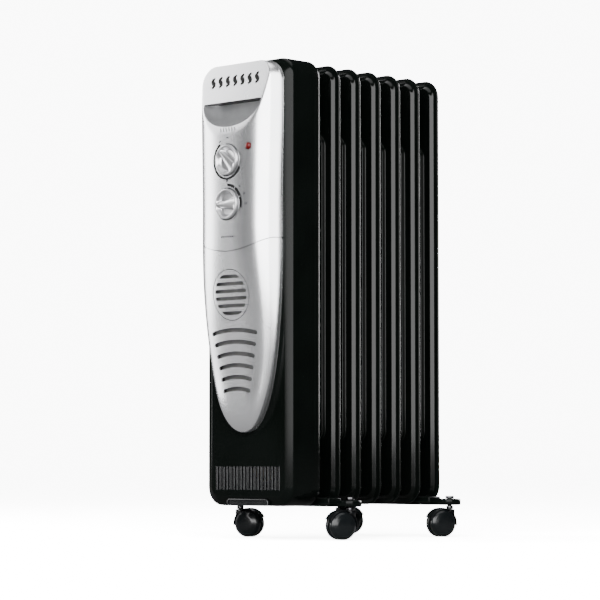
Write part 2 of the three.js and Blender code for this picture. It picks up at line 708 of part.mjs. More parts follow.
addPiece(heater, "housing", housing(), black_enamel);
addPiece(heater, "heat_shield", heatShield(), plated_zinc);
addPiece(heater, "fascia_upper", fasciaUpper(), silver_paint);
addPiece(heater, "fascia_lower", fasciaLower(), silver_paint);
addPiece(heater, "grab_cup", grabCup(), dark_plastic);
addPiece(heater, "round_grille", roundGrille(), silver_paint);
addPilot(heater);
addControl(heater, ["thermostat_knob", "thermostat_spindle", "thermostat"],
  THERMOSTAT_Z, (135 / 180) * Math.PI, [24, 15, 16]);
addControl(heater, ["power_knob", "power_spindle", "power_switch"],
  POWER_Z, (90 / 180) * Math.PI, [17, 17, 20]);
addPiece(heater, "control_bracket", controlBracket(), plated_zinc);

addPiece(heater, "heating_element", elementTube(), bare_steel);
addPiece(heater, "element_flange", elementFlange(), yellow_brass);
addPiece(heater, "terminal_block", terminalBlock(), white_ceramic);
addPiece(heater, "thermal_cutout", rodAlongY(8, -27, -17.6, 0, 320, 16), black_plastic);
addPiece(heater, "cord_bush", cordBush(), black_plastic);

const RIGHT_TRAIL = Math.atan2(-0.94, -0.34);
const LEFT_TRAIL = Math.atan2(0.34, 0.94);
for (const [end, y] of [["front", BRACKET_FRONT_Y], ["rear", BRACKET_REAR_Y]]) {
  addPiece(heater, `foot_bracket_${end}`, footBracket(y), black_enamel);
  addPiece(heater, `u_bolt_${end}`, uBolt(y), plated_zinc);
  addPiece(heater, `clamp_nut_${end}_left`, clampNut(-1, y), plated_zinc);
  addPiece(heater, `clamp_nut_${end}_right`, clampNut(1, y), plated_zinc);
  addCaster(heater, `${end}_left`, -STEM_X, y + STEM_SHIFT_Y, LEFT_TRAIL);
  addCaster(heater, `${end}_right`, STEM_X, y + STEM_SHIFT_Y, RIGHT_TRAIL);
}

export default heater;
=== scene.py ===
"""Looks of an oil filled radiator heater: black pressed fins, a black control box with a silver fascia
and dials, foot brackets and twin-wheel casters, built around the fixed frame.
Shapes are worked out in millimetres from the frame's own boxes and written to the meshes in metres."""

import json
import math

import bmesh
import bpy
import numpy as np
from mathutils import Matrix, Vector
from mathutils.geometry import tessellate_polygon

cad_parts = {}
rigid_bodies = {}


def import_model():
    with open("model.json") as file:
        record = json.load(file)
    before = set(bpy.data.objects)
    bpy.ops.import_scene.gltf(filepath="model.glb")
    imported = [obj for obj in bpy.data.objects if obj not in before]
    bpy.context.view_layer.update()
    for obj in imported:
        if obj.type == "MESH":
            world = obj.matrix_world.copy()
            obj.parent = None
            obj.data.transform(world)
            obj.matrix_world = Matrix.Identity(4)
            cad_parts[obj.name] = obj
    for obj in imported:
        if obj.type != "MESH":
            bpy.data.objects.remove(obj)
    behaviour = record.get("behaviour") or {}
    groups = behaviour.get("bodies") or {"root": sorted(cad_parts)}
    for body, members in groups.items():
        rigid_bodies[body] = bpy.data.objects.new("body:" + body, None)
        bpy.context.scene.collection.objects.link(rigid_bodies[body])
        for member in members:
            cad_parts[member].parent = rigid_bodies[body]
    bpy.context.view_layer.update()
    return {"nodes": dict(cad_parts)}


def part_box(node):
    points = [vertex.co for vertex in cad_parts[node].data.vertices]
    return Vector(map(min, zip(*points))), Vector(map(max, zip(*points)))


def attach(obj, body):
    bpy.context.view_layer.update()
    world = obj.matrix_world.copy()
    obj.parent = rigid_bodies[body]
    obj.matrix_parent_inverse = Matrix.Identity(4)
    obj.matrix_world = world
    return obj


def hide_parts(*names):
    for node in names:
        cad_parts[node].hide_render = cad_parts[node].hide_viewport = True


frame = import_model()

MM = 0.001


def node_box(node):
    """Lowest and highest corners of a CAD node at rest, in millimetres."""
    low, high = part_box(node)
    return np.array(low) / MM, np.array(high) / MM


# Driving places, read from the frame.
BOX_HIGH = node_box("housing")[1]
FIN_LOW, FIN_HIGH = node_box("fin_1")
FIN_Y = (FIN_LOW[1] + FIN_HIGH[1]) / 2
FIN_PITCH = (node_box("fin_2")[0][1] + node_box("fin_2")[1][1]) / 2 - FIN_Y
FIN_COUNT = 7
BOX_HALF, FIN_HALF = BOX_HIGH[0], FIN_HIGH[0]
BOX_BOTTOM, BOX_TOP = 44.3, BOX_HIGH[2]
GAP = 0.3
FACE_Y = node_box("fascia_lower")[1][1] + GAP
CORNER_R = 25.0
TIP_Z, CAP_TOP = node_box("fascia_lower")[0][2], node_box("fascia_upper")[1][2] - 2.5
KNOB_FRONT = node_box("thermostat_knob")[0][1]
DIAL_Z = {"thermostat": 500.0, "power": 441.5}
DIAL_TURN = {"thermostat": 135.0, "power": 90.0}
KNOB_R = 20.5
LAMP_X, LAMP_Z = 37.0, 516.0
GRILLE_Z, GRILLE_R = 322.0, 33.5
HEADER_Z = (98.0, 582.0)
BOSS_R = 28.0
ENDS = ("front", "rear")
CORNERS = [f"{end}_{side}" for end in ENDS for side in ("left", "right")]


# ---------------------------------------------------------------------------------------------
# Mesh making
# ---------------------------------------------------------------------------------------------

def grid_faces(rows, columns, wrap=False):
    """Quads of a grid whose point (i, j) has number i * columns + j; wrap closes each row on itself."""
    i, j = np.meshgrid(np.arange(rows - 1), np.arange(columns if wrap else columns - 1), indexing="ij")
    k = (j + 1) % columns
    quads = np.stack([i * columns + j, i * columns + k, (i + 1) * columns + k, (i + 1) * columns + j], -1)
    return quads.reshape(-1, 4)


def tube(rings, ends=True):
    """A closed skin through rings[row, column, xyz] that each close on themselves, with flat end faces."""
    rows, columns = rings.shape[:2]
    faces = grid_faces(rows, columns, wrap=True).tolist()
    if ends:
        faces.append(list(range(columns))[::-1])
        faces.append([(rows - 1) * columns + j for j in range(columns)])
    return rings.reshape(-1, 3), faces


def turned(profile, sides=64, along="y"):
    """Revolves profile[radius, height] about an axis. Every point of radius zero is one pole vertex."""
    profile = np.asarray(profile, float)
    angle = np.linspace(0, 2 * np.pi, sides, endpoint=False)
    radius, height = profile[:, 0, None], profile[:, 1, None]
    flat = [radius * np.cos(angle), radius * np.sin(angle), height + 0 * angle]
    order = {"y": (0, 2, 1), "z": (0, 1, 2)}[along]
    return tube(np.stack([flat[k] for k in order], -1))


def rounded(points, radius, steps=5):
    """Rounds the inner corners of an open polyline: each corner becomes a quadratic arc that starts and
    ends one radius along its two sides, or half a side where the side is short."""
    points = [np.asarray(p, float) for p in points]
    out = [points[0]]
    for before, corner, after in zip(points, points[1:], points[2:]):
        back, ahead = before - corner, after - corner
        reach = min(radius, np.linalg.norm(back) * 0.48, np.linalg.norm(ahead) * 0.48)
        start = corner + back / np.linalg.norm(back) * reach
        end = corner + ahead / np.linalg.norm(ahead) * reach
        t = np.linspace(0, 1, steps)[:, None]
        out.extend((1 - t) ** 2 * start + 2 * t * (1 - t) * corner + t ** 2 * end)
    out.append(points[-1])
    return np.array(out)


def swept(path, section, closed=False, up=(0, 0, 1)):
    """Carries section[across, lift] along path: across lies beside the path, lift is square to both."""
    path = np.asarray(path, float)
    if closed:
        tangent = np.roll(path, -1, 0) - np.roll(path, 1, 0)
    else:
        tangent = np.gradient(path, axis=0)
    tangent /= np.linalg.norm(tangent, axis=1, keepdims=True)
    side = np.cross(tangent, np.asarray(up, float))
    side /= np.linalg.norm(side, axis=1, keepdims=True)
    lift = np.cross(side, tangent)
    section = np.asarray(section, float)
    across, outward = section[None, :, 0, None], section[None, :, 1, None]
    rings = path[:, None] + across * side[:, None] + outward * lift[:, None]
    if not closed:
        return tube(rings)
    rows, columns = rings.shape[:2]
    return rings.reshape(-1, 3), grid_faces(rows + 1, columns, wrap=True) % (rows * columns)


def round_section(radius, sides=12):
    """Points of a circle for swept()."""
    angle = np.linspace(0, 2 * np.pi, sides, endpoint=False)
    return np.stack([radius * np.cos(angle), radius * np.sin(angle)], -1)


def at_y(outline, y):
    """An outline in X and Z as points in the plane y."""
    return np.column_stack([outline[:, 0], np.full(len(outline), y), outline[:, 1]])


def moved(part, matrix=None, shift=(0, 0, 0)):
    """Turns a (points, faces) part by a 3 by 3 matrix and shifts it, in millimetres."""
    points, faces = part
    points = np.asarray(points, float)
    if matrix is not None:
        points = points @ np.asarray(matrix, float).T
    return points + np.asarray(shift, float), faces


def merged_mesh(name, parts, weld):
    """One mesh from (points, faces) parts in millimetres: every part's faces are shifted by the number of
    points before it, near doubles are welded and the faces are turned outwards."""
    counts = np.cumsum([0] + [len(points) for points, _ in parts])
    faces = [(np.asarray(face) + start).tolist() for (_, part), start in zip(parts, counts) for face in part]
    mesh = bpy.data.meshes.new(name)
    mesh.from_pydata((np.concatenate([points for points, _ in parts]) * MM).tolist(), [], faces)
    solid = bmesh.new()
    solid.from_mesh(mesh)
    bmesh.ops.remove_doubles(solid, verts=solid.verts, dist=weld)
    bmesh.ops.recalc_face_normals(solid, faces=solid.faces)
    solid.to_mesh(mesh)
    solid.free()
    return mesh


def make_piece(name, parts, material, body, replaces=(), sharp=35):
    """One visual piece from closed parts, smooth but for edges sharper than the given angle."""
    return add_object(name, merged_mesh(name, parts, 2e-6), material, body, replaces, sharp)


def shade(mesh, sharp):
    """Smooth shading but for edges sharper than the given angle."""
    mesh.shade_smooth()
    mesh.set_sharp_from_angle(angle=math.radians(sharp))


def add_object(name, mesh, material, body, replaces=(), sharp=35):
    """Links a mesh as a piece that rides on a body and takes one material."""
    shade(mesh, sharp)
    mesh.materials.clear()
    mesh.materials.append(material)
    piece = bpy.data.objects.new(name, mesh)
    bpy.context.scene.collection.objects.link(piece)
    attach(piece, body)
    if replaces:
        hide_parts(*replaces)
    return piece


def apply_modifiers(piece):
    """Bakes the piece's modifiers into its mesh."""
    depsgraph = bpy.context.evaluated_depsgraph_get()
    mesh = bpy.data.meshes.new_from_object(piece.evaluated_get(depsgraph))
    piece.modifiers.clear()
    piece.data = mesh


def cut(piece, cutters, sharp=35):
    """Cuts closed parts out of a piece in one boolean, then shades it again."""
    tool = make_tool(cutters)
    step = piece.modifiers.new("cut", "BOOLEAN")
    step.operation, step.solver, step.object = "DIFFERENCE", "EXACT", tool
    step.use_self = True
    apply_modifiers(piece)
    bpy.data.objects.remove(tool)
    shade(piece.data, sharp)


def make_tool(parts):
    """A scratch object that holds the cutters until the cut is done."""
    tool = bpy.data.objects.new("cutter", merged_mesh("cutter", parts, 1e-7))
    bpy.context.scene.collection.objects.link(tool)
    return tool


def thicken(piece, thickness, sharp=35, even=True):
    """Gives an open skin a wall behind its outward side."""
    wall = piece.modifiers.new("wall", "SOLIDIFY")
    wall.thickness, wall.offset, wall.use_even_offset = thickness * MM, -1.0, even
    apply_modifiers(piece)
    shade(piece.data, sharp)
    return piece


def softened_copy(node, material, body, edge, segments=3, sharp=40):
    """A CAD node's own shape with its coplanar facets joined and every edge rounded over."""
    mesh = frame["nodes"][node].data.copy()
    mesh.name = node + "_finished"
    solid = bmesh.new()
    solid.from_mesh(mesh)
    bmesh.ops.remove_doubles(solid, verts=solid.verts, dist=1e-6)
    bmesh.ops.dissolve_limit(solid, angle_limit=math.radians(2), verts=solid.verts, edges=solid.edges)
    solid.to_mesh(mesh)
    solid.free()
    piece = add_object(node + "_finished", mesh, material, body, (node,), sharp)
    bevel = piece.modifiers.new("edges", "BEVEL")
    bevel.width, bevel.segments, bevel.limit_method = edge * MM, segments, "ANGLE"
    bevel.angle_limit = math.radians(35)
    bevel.use_clamp_overlap = True
    apply_modifiers(piece)
    shade(piece.data, sharp)
    return piece


# ---------------------------------------------------------------------------------------------
# Finishes
# ---------------------------------------------------------------------------------------------

def finish(name, low, high, grain, rough, bump=(0, 1), metallic=0.0, coat=0.0, shine=0.5):
    """A finish on object coordinates. low and high are the two tones that a noise of scale grain mixes;
    rough is the range of roughness over a wider noise; bump is (height in mm, scale) of the surface's
    own grain; shine is the specular level."""
    material = bpy.data.materials.new(name)
    material.use_nodes = True
    nodes, links = material.node_tree.nodes, material.node_tree.links
    shader = nodes["Principled BSDF"]
    place = nodes.new("ShaderNodeTexCoord")

    def noise(scale, detail=3.0):
        texture = nodes.new("ShaderNodeTexNoise")
        texture.inputs["Scale"].default_value = scale
        texture.inputs["Detail"].default_value = detail
        links.new(place.outputs["Object"], texture.inputs["Vector"])
        return texture.outputs["Fac"]

    tones = nodes.new("ShaderNodeValToRGB")
    tones.color_ramp.elements[0].position, tones.color_ramp.elements[1].position = 0.35, 0.65
    tones.color_ramp.elements[0].color = (*low, 1)
    tones.color_ramp.elements[1].color = (*high, 1)
    links.new(noise(grain), tones.inputs["Fac"])
    links.new(tones.outputs["Color"], shader.inputs["Base Color"])
    spread = nodes.new("ShaderNodeMapRange")
    spread.inputs["From Min"].default_value, spread.inputs["From Max"].default_value = 0.3, 0.7
    spread.inputs["To Min"].default_value, spread.inputs["To Max"].default_value = rough
    links.new(noise(grain * 0.4, 5.0), spread.inputs["Value"])
    links.new(spread.outputs["Result"], shader.inputs["Roughness"])
    if bump[0] > 0:
        relief = nodes.new("ShaderNodeBump")
        relief.inputs["Distance"].default_value = bump[0] * MM
        links.new(noise(bump[1]), relief.inputs["Height"])
        links.new(relief.outputs["Normal"], shader.inputs["Normal"])
    shader.inputs["Metallic"].default_value = metallic
    shader.inputs["Coat Weight"].default_value = coat
    shader.inputs["Coat Roughness"].default_value = 0.08
    shader.inputs["Specular IOR Level"].default_value = shine
    return material


ENAMEL = finish("black_stove_enamel", (0.0012, 0.0018, 0.0015), (0.0018, 0.0026, 0.0022), 12, (0.13, 0.15),
                shine=0.08)
FIN_BLACK = finish("black_fin_enamel", (0.0012, 0.0018, 0.0015), (0.0018, 0.0026, 0.0022), 12, (0.13, 0.15),
                   shine=0.17)
SILVER = finish("satin_silver_lacquer", (0.63, 0.635, 0.65), (0.665, 0.667, 0.68), 30, (0.25, 0.28),
                metallic=0.95)
KNOB_SILVER = finish("satin_silver_knob", (0.40, 0.40, 0.41), (0.45, 0.45, 0.46), 80, (0.27, 0.31),
                     metallic=0.9)
# The grab recess is the fascia's silver, made a darker grey here as painted shade inside the recess.
CUP_SHADED_SILVER = finish("recess_silver_painted_shade", (0.24, 0.243, 0.25), (0.28, 0.283, 0.29), 60, (0.34, 0.40),
                  metallic=0.6)
# The ducts behind the grille and the vents are silver, made near black here as painted shade behind the
# slots.
DUCT_SHADED_SILVER = finish("duct_silver_painted_shade", (0.075, 0.075, 0.075), (0.10, 0.10, 0.10), 60, (0.28, 0.34),
              metallic=0.8)
NYLON = finish("glossy_black_nylon", (0.003, 0.0035, 0.004), (0.005, 0.0055, 0.006), 60, (0.16, 0.22),
               bump=(0.003, 900), shine=0.4)
WHEEL = finish("black_wheel_moulding", (0.003, 0.004, 0.0045), (0.005, 0.006, 0.0065), 60, (0.16, 0.22),
               shine=0.3)
# Dark phenolic for the switch bodies; on the grab recess's ceiling the same near black is painted shade.
DARK = finish("dark_phenolic_and_painted_shade", (0.006, 0.006, 0.006), (0.011, 0.0105, 0.01), 90, (0.45, 0.6),
              bump=(0.02, 500), shine=0.2)
ZINC = finish("black_zinc_plate", (0.03, 0.03, 0.031), (0.045, 0.045, 0.046), 140, (0.3, 0.42),
              bump=(0.01, 600), metallic=0.8)
STEEL = finish("blackened_steel", (0.05, 0.05, 0.052), (0.07, 0.07, 0.072), 200, (0.2, 0.3),
               bump=(0.006, 900), metallic=1.0)
# Brass darkened nearly to black as painted shade inside the box, where it shows through the louvre.
BRASS_PAINTED_SHADE = finish("brass_painted_shade", (0.06, 0.045, 0.02), (0.09, 0.065, 0.03), 150, (0.35, 0.5),
               bump=(0.01, 800), metallic=1.0)
CERAMIC = finish("glazed_ceramic", (0.60, 0.58, 0.53), (0.70, 0.68, 0.62), 120, (0.2, 0.4),
                 bump=(0.02, 400), coat=0.4)
PRINT = finish("dial_print_black", (0.001, 0.001, 0.0012), (0.002, 0.002, 0.0022), 300, (0.5, 0.6),
               bump=(0.002, 2000), shine=0.1)
PRINT_GREY = finish("dial_print_grey", (0.02, 0.02, 0.022), (0.03, 0.03, 0.033), 300, (0.5, 0.6),
                    bump=(0.002, 2000), shine=0.1)
LENS = finish("red_lens", (0.05, 0.0004, 0.0008), (0.07, 0.0007, 0.001), 260, (0.14, 0.2),
              shine=0.25)
NEON = finish("neon_glass", (0.30, 0.26, 0.22), (0.40, 0.36, 0.30), 300, (0.05, 0.12),
              bump=(0.002, 900), coat=0.5)


# ---------------------------------------------------------------------------------------------
# Fins
# ---------------------------------------------------------------------------------------------

def rounded_rectangle(half_width, low, high, radius, inset=0.0, corner=10, side=6):
    """Points round a rectangle in X and Z with quarter-circle corners, and the same count for every
    inset, so that rings of different insets join point to point."""
    r = max(radius - inset, 0.6)
    x, bottom, top = half_width - inset - r, low + inset + r, high - inset - r
    arcs = []
    for quarter, (cx, cz) in enumerate([(x, top), (-x, top), (-x, bottom), (x, bottom)]):
        angle = (quarter + np.linspace(0, 1, corner)) * np.pi / 2
        arcs.append(np.stack([cx + r * np.cos(angle), cz + r * np.sin(angle)], -1))
    points = []
    for arc, following in zip(arcs, arcs[1:] + arcs[:1]):
        share = np.linspace(0, 1, side + 2)[1:-1, None]
        points += [arc, arc[-1] * (1 - share) + following[0] * share]
    return np.concatenate(points)


RIM_R = 1.35
FOLD_DEPTH = 6.5
CHANNEL_DEPTH = 11.0


def fin_rings(y):
    """Rings from the middle of the front face over the rolled rim to the middle of the back. The border
    slopes from the rim to a fold, a shallow dished flat follows, and the oil channel is a raised plateau."""
    low, high = FIN_LOW[2], FIN_HIGH[2]
    bead = np.linspace(0, 0.5 * np.pi, 5)
    border = [(RIM_R * (1 - math.cos(a)), RIM_R * math.sin(a)) for a in bead]
    slope = rounded([(RIM_R, RIM_R), (2.4, 1.25), (7.4, 1.9), (11.0, FOLD_DEPTH),
                     (16.5, FOLD_DEPTH - 1.2)], 1.7, 6)
    outer = border + [tuple(p) for p in slope[1:]]
    channel = rounded([(7, FOLD_DEPTH - 1.2), (1.5, FOLD_DEPTH - 1.1), (0.2, CHANNEL_DEPTH),
                       (-12, CHANNEL_DEPTH - 0.6), (-40, CHANNEL_DEPTH - 2.2)], 1.6, 5)

    def half(sign):
        rings = [(rounded_rectangle(FIN_HALF, low, high, CORNER_R, d), depth) for d, depth in outer]
        rings += [(rounded_rectangle(54 + d, 130 - d, 540 + d, 14 + d), depth) for d, depth in channel]
        return [at_y(ring, y + sign * depth) for ring, depth in rings]

    return np.stack(half(-1)[::-1] + half(1)[1:])


def header_boss(y, front, rear, z, closed_front=False, closed_rear=False):
    """A round header boss that flares into the plate at both sides; a closed end gets a domed cap."""
    def end(reach, closed):
        if closed:
            return [(0, reach), (16, reach - 0.2), (25.5, reach - 1.0), (28, reach - 4)]
        return [(0, reach), (26.6, reach), (28, reach - 1.4)]
    back = [(r, y + d) for r, d in end(rear, closed_rear)]
    ahead = [(r, y - d) for r, d in end(front, closed_front)]
    flare = [(28, y + 12.5), (33, y + 8), (33, y - 8), (28, y - 12.5)]
    profile = rounded(back + flare + ahead[::-1], 2.2, 4)
    return moved(turned(profile, 72), shift=(0, 0, z))


def header_neck(y, z0, z1):
    """The pressed neck that joins a boss to the oil channel: a pill section carried straight up."""
    section = rounded_rectangle(26, -CHANNEL_DEPTH, CHANNEL_DEPTH, 5, 0, 5, 2)
    rings = [np.column_stack([section[:, 0], y + section[:, 1], np.full(len(section), z)]) for z in (z0, z1)]
    return tube(np.stack(rings))


def make_fins():
    """Seven fins in black enamel, each one piece with its own bosses."""
    for k in range(FIN_COUNT):
        y = FIN_Y + k * FIN_PITCH
        first, last = k == 0, k == FIN_COUNT - 1
        reach = FIN_PITCH / 2 - 0.15
        rear = 13.5 if last else reach
        parts = [tube(fin_rings(y)), header_neck(y, HEADER_Z[0], 140), header_neck(y, 530, HEADER_Z[1])]
        parts.append(header_boss(y, reach, rear, HEADER_Z[0], closed_rear=last))
        front = 13 if first else reach
        parts.append(header_boss(y, front, rear, HEADER_Z[1], closed_front=first, closed_rear=last))
        make_piece(f"fin_{k + 1}_pressing", parts, FIN_BLACK, "frame", (f"fin_{k + 1}",), 50)


# ---------------------------------------------------------------------------------------------
# Control box
# ---------------------------------------------------------------------------------------------

EDGE_ACROSS, EDGE_DEEP = 12.0, 5.5
LOUVRE = {"half_width": 58.0, "low": 66.0, "high": 95.6, "ribs": 19}


def face_with_holes(outline, holes, y):
    """A flat face in the plane y: the outline ring with rectangular holes left open."""
    loops = [[Vector((p[0], p[1], 0)) for p in loop] for loop in [outline] + holes]
    triangles = tessellate_polygon(loops)
    flat = np.concatenate([outline] + holes)
    return at_y(flat, y), triangles


def rectangle(x0, x1, z0, z1):
    """Four corners of a rectangle in X and Z, in turn."""
    return np.array([(x0, z0), (x1, z0), (x1, z1), (x0, z1)], float)


def make_box():
    """The black box: side walls and a rolled front edge carried round one rounded rectangle, with a flat
    face that has the louvre and vent windows, given its wall by Solidify."""
    back = BOX_HIGH[1]
    bevel = rounded([(EDGE_ACROSS + 1.5, 0), (EDGE_ACROSS, 0), (0.6, EDGE_DEEP - 0.8),
                     (0, EDGE_DEEP + 5)], 8.0, 8)
    profile = [(inset, FACE_Y + depth) for inset, depth in bevel[:-1]]
    profile += [(0.0, y) for y in np.linspace(FACE_Y + EDGE_DEEP + 5, back - 2.0, 5)]
    profile += [(0.15, back - 1.2), (0.9, back - 0.3), (1.8, back)]
    rings = [rounded_rectangle(BOX_HALF, BOX_BOTTOM, BOX_TOP, CORNER_R, d, 12, 8) for d, _ in profile]
    skin = np.stack([at_y(ring, y) for ring, (_, y) in zip(rings, profile)])
    window = LOUVRE["half_width"] + 2.2
    holes = [rectangle(-window, window, LOUVRE["low"], LOUVRE["high"]),
             rectangle(-22, 22, 195, 350)]
    face = face_with_holes(rings[0], holes, FACE_Y)
    parts = [tube(skin, ends=False), face]
    piece = make_piece("box_shell", parts, ENAMEL, "frame", ("housing",), 30)
    thicken(piece, 2.0, 30, even=False)


def make_louvre():
    """Nineteen upright ribs with round fronts across the louvre window, and the rims above and below."""
    parts = []
    section = rounded([(-1.8, 2.0), (-1.8, -0.5), (1.8, -0.5), (1.8, 2.0)], 1.6, 6)
    for x in np.linspace(-LOUVRE["half_width"], LOUVRE["half_width"], LOUVRE["ribs"]):
        rings = [np.column_stack([x + section[:, 0], FACE_Y + section[:, 1], np.full(len(section), z)])
                 for z in (LOUVRE["low"] - 0.6, LOUVRE["high"] + 0.6)]
        parts.append(tube(np.stack(rings)))
    make_piece("louvre_ribs", parts, NYLON, "frame", (), 40)


def make_foot_arch():
    """The low arch at the box's foot: a filled arch plate and a rolled bead along its rim."""
    half, top, base = 37.6, 52.6, 44.6
    corner = np.linspace(0, np.pi / 2, 7)
    right = np.stack([half - 4 + 4 * np.cos(corner), top - 4 + 4 * np.sin(corner)], -1)
    left = right[::-1] * (-1, 1)
    rim = np.concatenate([[(half, base)], right, left, [(-half, base)]])
    plate = prism(rim, FACE_Y + 0.4, FACE_Y + 8)
    bead = swept(at_y(rim, FACE_Y), round_section(1.1), up=(0, 1, 0))
    make_piece("foot_arch", [plate, bead], NYLON, "frame", (), 40)


# ---------------------------------------------------------------------------------------------
# Silver fascia
# ---------------------------------------------------------------------------------------------

SEAM_GAP = 0.5
SKIN = 2.2
SIDE_HALF, TIP_START = 65.3, 381
CUT_FROM, CUT_TO = FACE_Y - 60, FACE_Y - 1
DIAL_GAP = 1.3
MOUTH = {"half_width": 54.0, "top": 579.0, "drop": 35.0}
SLOT_COUNT = 6


def smooth_step(value, low, high):
    """0 below low, 1 above high, a cubic ease between."""
    share = np.clip((np.asarray(value, float) - low) / (high - low), 0, 1)
    return share * share * (3 - 2 * share)


def half_width_at(z):
    """Half width of the fascia: a superellipse tip, nearly straight sides, round top corners."""
    z = np.asarray(z, float)
    tip = (1 - np.clip((TIP_START - z) / (TIP_START - TIP_Z), 0, 1) ** 2.35) ** (1 / 2.35)
    rise = np.clip(z - (CAP_TOP - CORNER_R), 0, CORNER_R)
    return SIDE_HALF * tip + 2.5 * smooth_step(z, 430, 575) - CORNER_R + np.sqrt(CORNER_R ** 2 - rise ** 2)


def crown_at(z):
    """Height of the middle line over the box's face: a blunt nose at the tip, then a slow rise to the
    flat chest."""
    nose = (1 - np.clip((200 - np.asarray(z, float)) / (200 - TIP_Z), 0, 1) ** 2.2) ** 0.6
    return 7 + 13.3 * nose + 18.4 * smooth_step(z, 190, 415)


def fascia_height(t, z):
    """Height over the box's face at share t of the half width: a superellipse arch on a low rim, squarer
    below than above, met by a flat facet that leans back at the top, with a soft crease where they meet."""
    settled = smooth_step(z, 230, 420)
    power, rim = 4.2 - 1.1 * settled, 2.4
    arch = rim + (crown_at(z) - rim) * (1 - np.clip(np.abs(t), 0, 1) ** power) ** (1 / power)
    facet = 29.7 - 0.213 * (z - 578)
    blend = 0.6
    return 0.5 * (arch + facet - np.sqrt((arch - facet) ** 2 + blend ** 2))


def fascia_y(x, z):
    """Y of the fascia's surface at a place on it."""
    return FACE_Y - fascia_height(np.asarray(x, float) / half_width_at(z), np.asarray(z, float))


def seam_z(x):
    """Height of the seam between the two fascia halves: a parabola, lowest in the middle."""
    return 379.5 + 0.0037 * np.asarray(x, float) ** 2


def fascia_half(lower):
    """One half of the fascia as a closed shell: outer skin, inner skin behind it, and the joining
    walls. The rows follow the seam at one end and the tip or the top edge at the other; the columns crowd
    towards the sides by the arc sine law, where the arch turns down."""
    rows, columns = (130, 129) if lower else (120, 129)
    across = np.sin(np.sin(np.linspace(-np.pi / 2, np.pi / 2, columns)) * np.pi / 2)
    ease = 1 - np.cos(np.linspace(0, np.pi / 2, rows))

    def skin(drop, seam_gap):
        seam = seam_z(across * 66) + (-seam_gap if lower else seam_gap)
        start = TIP_Z + drop + 0.01 if lower else CAP_TOP - drop
        z = start + (seam[None] - start) * ease[:, None]
        x = across[None] * np.maximum(half_width_at(z) - drop, 0.0)
        height = fascia_height(across[None] + 0 * z, z) - drop
        return np.stack([x, FACE_Y - np.maximum(height, 0.4), z], -1)

    def border(sheet):
        return np.concatenate([sheet[:-1, 0], sheet[-1, :-1], sheet[:0:-1, -1], sheet[0, :0:-1]])

    outer, inner = skin(0.0, SEAM_GAP), skin(SKIN, SEAM_GAP)
    rim = border(outer)
    middle = np.array([0.0, 0.0, rim[:, 2].mean()])
    inward = (middle - rim) * (1, 0, 1)
    inward /= np.linalg.norm(inward, axis=1, keepdims=True)
    foot = rim + inward * 0.9
    foot[:, 1] = FACE_Y - GAP
    inner_rim = border(inner)
    inner_foot = inner_rim + inward * 0.9
    inner_foot[:, 1] = FACE_Y - GAP
    wall = np.stack([rim, foot, inner_foot, inner_rim])
    shape = outer.shape[:2]
    return [(outer.reshape(-1, 3), grid_faces(*shape)), (inner.reshape(-1, 3), grid_faces(*shape)),
            tube(wall, ends=False)]


def ease_normals(piece):
    """The skin's shading normals straight from the height formula: at every face corner whose own normal
    is within 50 degrees of the formula's gradient, the gradient takes its place."""
    mesh = piece.data
    count = len(mesh.loops)
    own, corner = np.empty(count * 3), np.empty(count, int)
    mesh.corner_normals.foreach_get("vector", own)
    mesh.loops.foreach_get("vertex_index", corner)
    place = np.empty(len(mesh.vertices) * 3)
    mesh.vertices.foreach_get("co", place)
    own, place = own.reshape(-1, 3), place.reshape(-1, 3)[corner] / MM
    x, z, step = place[:, 0], place[:, 2], 0.05
    slope_x = (fascia_y(x + step, z) - fascia_y(x - step, z)) / (2 * step)
    slope_z = (fascia_y(x, z + step) - fascia_y(x, z - step)) / (2 * step)
    ideal = np.stack([slope_x, np.full(count, -1.0), slope_z], -1)
    ideal /= np.linalg.norm(ideal, axis=1, keepdims=True)
    near = (own * ideal).sum(1) > math.cos(math.radians(50))
    near &= np.isfinite(ideal).all(1)
    mesh.normals_split_custom_set(np.where(near[:, None], ideal, own))


def prism(outline, y0, y1):
    """An outline in X and Z pushed from y0 to y1."""
    return tube(np.stack([at_y(np.asarray(outline, float), y) for y in (y0, y1)]))


def circle(radius, x, z, sides=64):
    """Points round a circle in X and Z."""
    return round_section(radius, sides) + (x, z)


def mouth_outline(grow=0.0, count=56):
    """The grab recess's D: a straight top with small corner rounds and an elliptic bottom."""
    w, top, drop = MOUTH["half_width"] + grow, MOUTH["top"] + grow, MOUTH["drop"] + 2 * grow
    ease = 1.8
    arc_angle = np.linspace(0, -np.pi, count)
    arc = np.stack([w * np.cos(arc_angle), top - ease + (drop - ease) * np.sin(arc_angle)], -1)
    corner = np.linspace(0, np.pi / 2, 5)[1:]
    left = np.stack([-w + ease * (1 - np.cos(corner)), top - ease + ease * np.sin(corner)], -1)
    return np.concatenate([arc, left, left[::-1] * (-1, 1)])


def slot_outline(index):
    """One arched vent: a band of constant height whose middle line bows upwards by a parabola, with round
    ends. Each vent is narrower and flatter than the one above."""
    z, half, thick = 271.5 - index * 15.2, 39.6 - index * 3.4, 2.8
    t = np.linspace(-1, 1, 21)
    middle = z + 4.3 * (half / 39.6) ** 0.6 * (1 - t ** 2)
    upper = np.stack([t * half, middle + thick], -1)
    lower = np.stack([t * half, middle - thick], -1)[::-1]
    arc = np.linspace(np.pi / 2, -np.pi / 2, 9)[1:-1]
    right = np.stack([half + thick * np.cos(arc), middle[-1] + thick * np.sin(arc)], -1)
    left = np.stack([-half - thick * np.cos(arc), middle[0] - thick * np.sin(arc)], -1)
    return np.concatenate([upper, right, lower, left])


